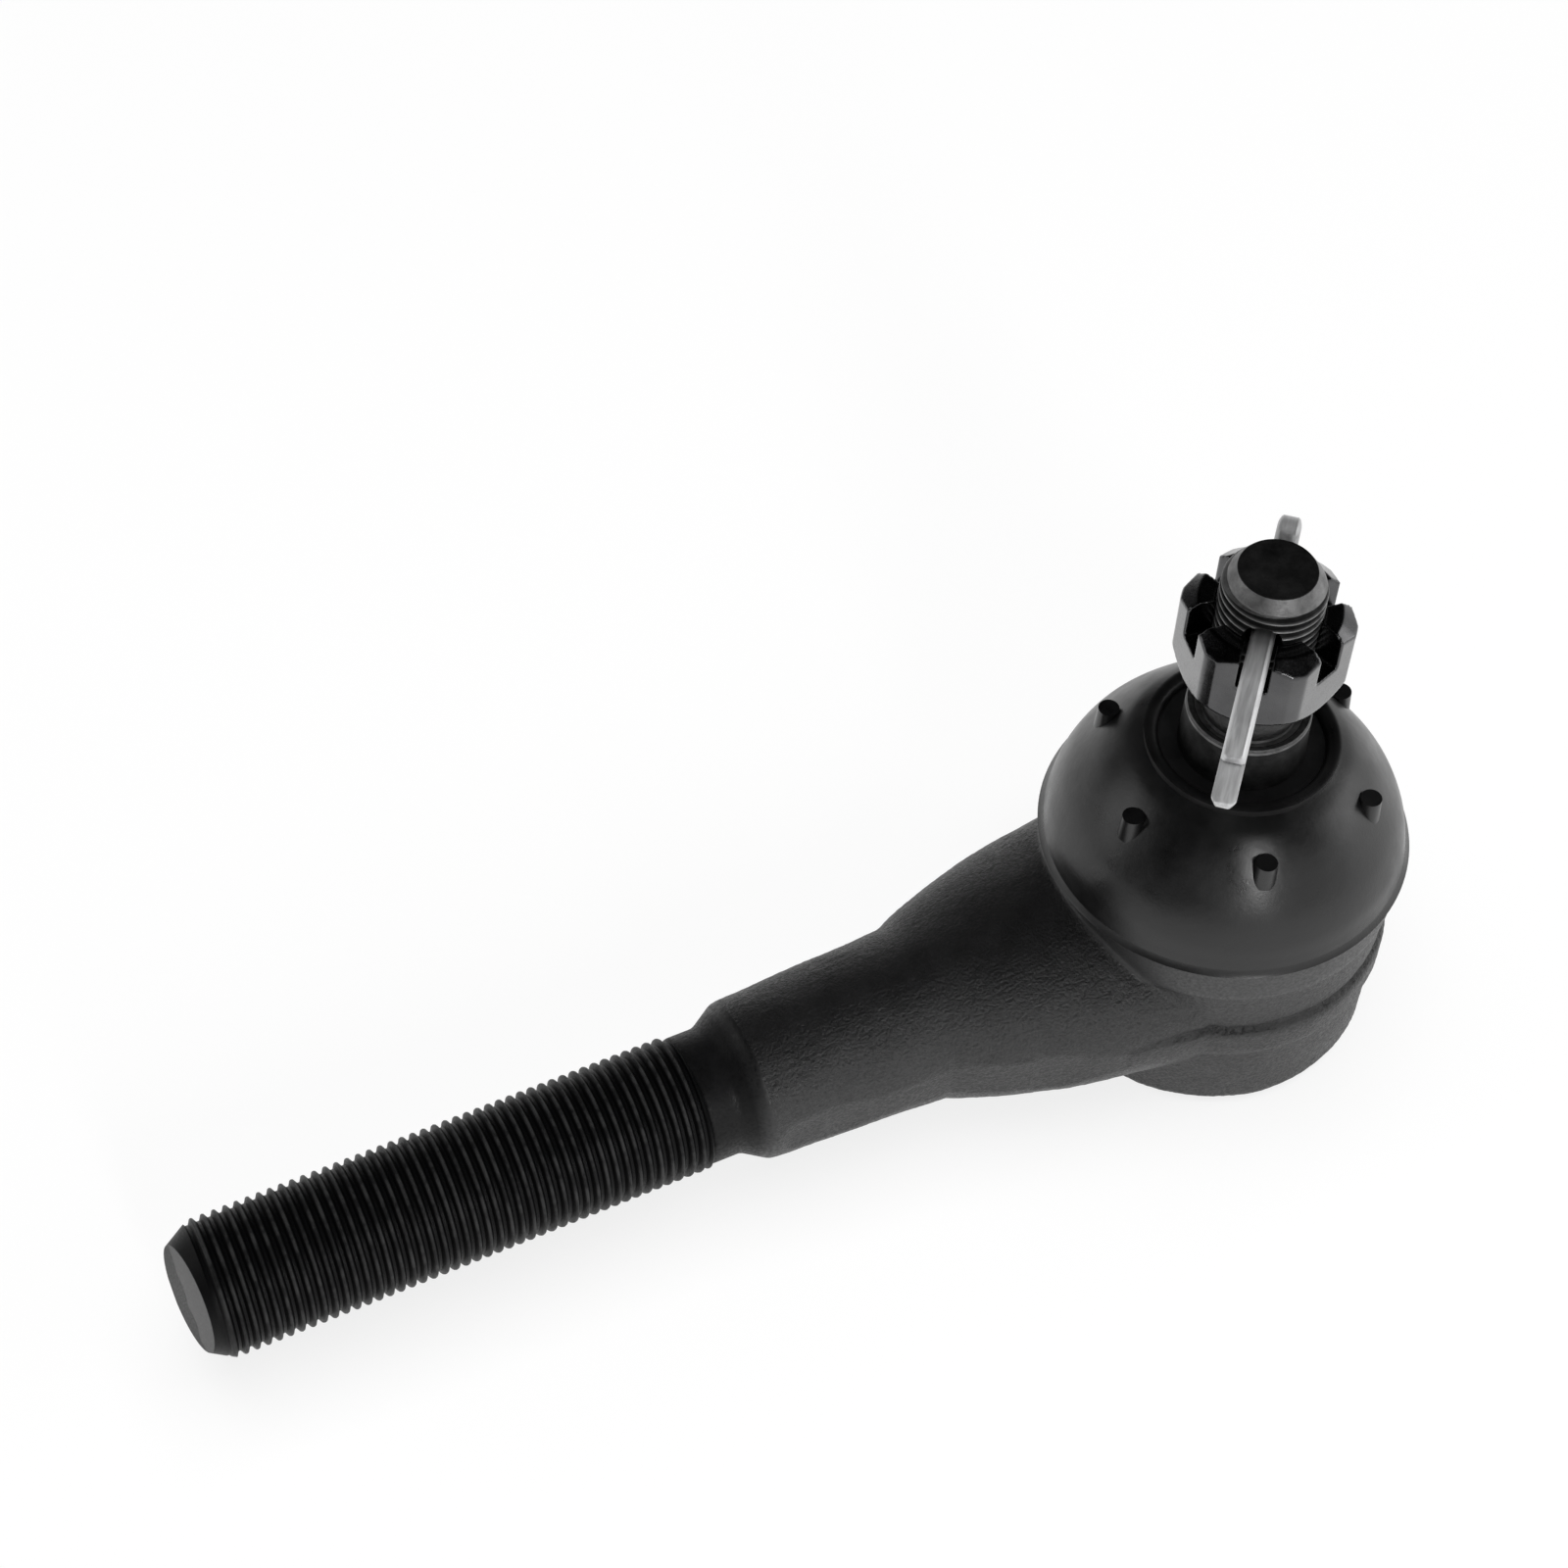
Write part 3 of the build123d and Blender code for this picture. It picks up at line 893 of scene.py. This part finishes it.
def narrowTip(ring):
    # the wire's rounded end, past its last ring
    tip = [p + Vector((-pin["tip"], 0, 0)) for p in ring]
    centre = sum(tip, Vector()) / len(tip)
    return [centre + (p - centre) * pin["tipScale"] for p in tip]


def makePin():
    print("cotter pin")
    d = pin
    path = [Vector((x, 0, z)) for x, z in cotterPath()]
    rings = []
    for k, here in enumerate(path):
        before, after = path[max(k - 1, 0)], path[min(k + 1, len(path) - 1)]
        ahead = (after - before).normalized()
        out = Vector((ahead.z, 0, -ahead.x))   # away from the flat side
        ring = []
        for i in range(d["steps"] + 1):
            a = math.pi * i / d["steps"]
            side = Vector((0, d["wire"] * math.cos(a), 0))
            ring.append(here + side + out * d["wire"] * min(d["bulge"] * math.sin(a), d["crown"]))
        rings.append(ring)
    rings = [narrowTip(rings[0]), *rings, narrowTip(rings[-1])]
    count = d["steps"] + 1
    verts = [p * mm for ring in rings for p in ring]
    faces = []
    for k in range(len(rings) - 1):
        for i in range(count):
            j = (i + 1) % count
            near, far = k * count, (k + 1) * count
            faces.append((near + i, near + j, far + j, far + i))
    faces.append(tuple(range(count)))
    faces.append(tuple(range((len(rings) - 1) * count, len(rings) * count))[::-1])
    piece = fromArrays("cotterPin", verts, faces, zincPlate)
    cleanMesh(piece.data)
    bevel = piece.modifiers.new("edges", "BEVEL")
    bevel.width = d["bevel"] * mm
    bevel.segments = 2
    bevel.limit_method = "ANGLE"
    bevel.angle_limit = math.radians(50)
    bakeModifiers(piece)
    shadeSmooth(piece.data, d["sharp"])
    heading = Matrix.Rotation(pinHeading, 4, "Z")
    piece.data.transform(Matrix.Translation((0, 0, pinHeight)) @ heading)
    return piece


cotterPin = makePin()
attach(cotterPin, "pin")
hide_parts("cotter_pin")


# the CAD's own meshes, shown as they are
keptNodes = {"boot_washer": stampedSteel, "boot_retainer": stampedSteel,
             "cover_plate": stampedSteel, "upper_bearing": bearingMetal,
             "lower_bearing": bearingMetal, "preload_spring": springSteel}

for name, material in keptNodes.items():
    nodes[name].data.materials.clear()
    nodes[name].data.materials.append(material)


# boxes of name, place, aim, size and power; horizon and side are (from, from, to, to)
studio = {
    "aim": (-42.2 * mm, 40.2 * mm, 15.0 * mm), "distance": 0.4335, "pitch": 51.78,
    "heading": -27.62, "roll": 2.27, "lens": 74.25, "sensor": 36, "clip": 0.01,
    "floorHalf": 3.0, "floorGap": 0.0002, "floorGrey": 0.22, "floorGlow": 0.8, "floorRough": 0.9,
    "brightSide": (0.8, -0.6, 0.0), "horizon": (0.1, 0.65, 0.8, 0.01),
    "side": (-0.5, 0.5, 0.12, 1.0),
    "overhead": ((0, 0, 1.6), (0, 0, 0), (1.6, 1.6), 22),
    "leftBox": ((-0.75, 0.35, 0.3), (0, 0, 0.03), (0.5, 0.4), 0.8),
    "rightBox": ((0.75, -0.3, 0.3), (0, 0, 0.03), (0.5, 0.4), 1.2),
    "stripBox": ((-0.12, -0.70, 0.40), (0, 0, 0.04), (0.10, 0.30), 1.4)}


def makeCamera():
    camera = bpy.data.cameras.new("camera")
    camera.lens = studio["lens"]
    camera.sensor_width = studio["sensor"]
    camera.clip_start = studio["clip"]
    holder = bpy.data.objects.new("camera", camera)
    bpy.context.scene.collection.objects.link(holder)
    turn = Matrix.Rotation(math.radians(studio["heading"]), 4, "Z") \
        @ Matrix.Rotation(math.radians(90 - studio["pitch"]), 4, "X") \
        @ Matrix.Rotation(math.radians(studio["roll"]), 4, "Z")
    back = turn @ Vector((0, 0, studio["distance"]))
    holder.matrix_world = Matrix.Translation(Vector(studio["aim"]) + back) @ turn
    bpy.context.scene.camera = holder


def softbox(name):
    place, aim, size, power = studio[name]
    light = bpy.data.lights.new(name, "AREA")
    light.shape = "RECTANGLE"
    light.size, light.size_y = size
    light.energy = power
    holder = bpy.data.objects.new(name, light)
    bpy.context.scene.collection.objects.link(holder)
    facing = (Vector(aim) - Vector(place)).to_track_quat("-Z", "Y").to_matrix().to_4x4()
    holder.matrix_world = Matrix.Translation(place) @ facing
    return holder


def makeFloor():
    half = studio["floorHalf"]
    corners = [(-half, -half, 0), (half, -half, 0), (half, half, 0), (-half, half, 0)]
    s = Shader("floorPaper")
    paper = s.set(Base_Color=grey(studio["floorGrey"]), Roughness=studio["floorRough"],
                  Emission_Color=grey(1.0), Emission_Strength=studio["floorGlow"])
    floor = fromArrays("floor", corners, [(0, 1, 2, 3)], paper)
    floor.data.transform(Matrix.Translation((0, 0, cadBox[0][2] - studio["floorGap"])))


def makeWorld():
    # bright round the horizon on one side, dark on the other and overhead
    world = bpy.data.worlds.new("studio")
    bpy.context.scene.world = world
    world.use_nodes = True
    tree = world.node_tree
    background = tree.nodes["Background"]
    background.inputs["Color"].default_value = (1, 1, 1, 1)
    sky = tree.nodes.new("ShaderNodeTexCoord").outputs["Generated"]
    split = tree.nodes.new("ShaderNodeSeparateXYZ")
    fade = tree.nodes.new("ShaderNodeMapRange")
    fade.interpolation_type = "SMOOTHSTEP"
    setRange(fade, *studio["horizon"])
    side = tree.nodes.new("ShaderNodeVectorMath")
    side.operation = "DOT_PRODUCT"
    side.inputs[1].default_value = studio["brightSide"]
    tilt = tree.nodes.new("ShaderNodeMapRange")
    setRange(tilt, *studio["side"])
    both = tree.nodes.new("ShaderNodeMath")
    both.operation = "MULTIPLY"
    for source, target in ((sky, split.inputs["Vector"]), (sky, side.inputs[0]),
                           (split.outputs["Z"], fade.inputs["Value"]),
                           (side.outputs["Value"], tilt.inputs["Value"]),
                           (fade.outputs["Result"], both.inputs[0]),
                           (tilt.outputs["Result"], both.inputs[1]),
                           (both.outputs[0], background.inputs["Strength"])):
        tree.links.new(source, target)


print("studio")
makeCamera()
makeFloor()
makeWorld()
softbox("overhead").visible_glossy = False
softbox("leftBox")
softbox("rightBox")
softbox("stripBox")
bpy.context.scene.view_settings.view_transform = "Standard"
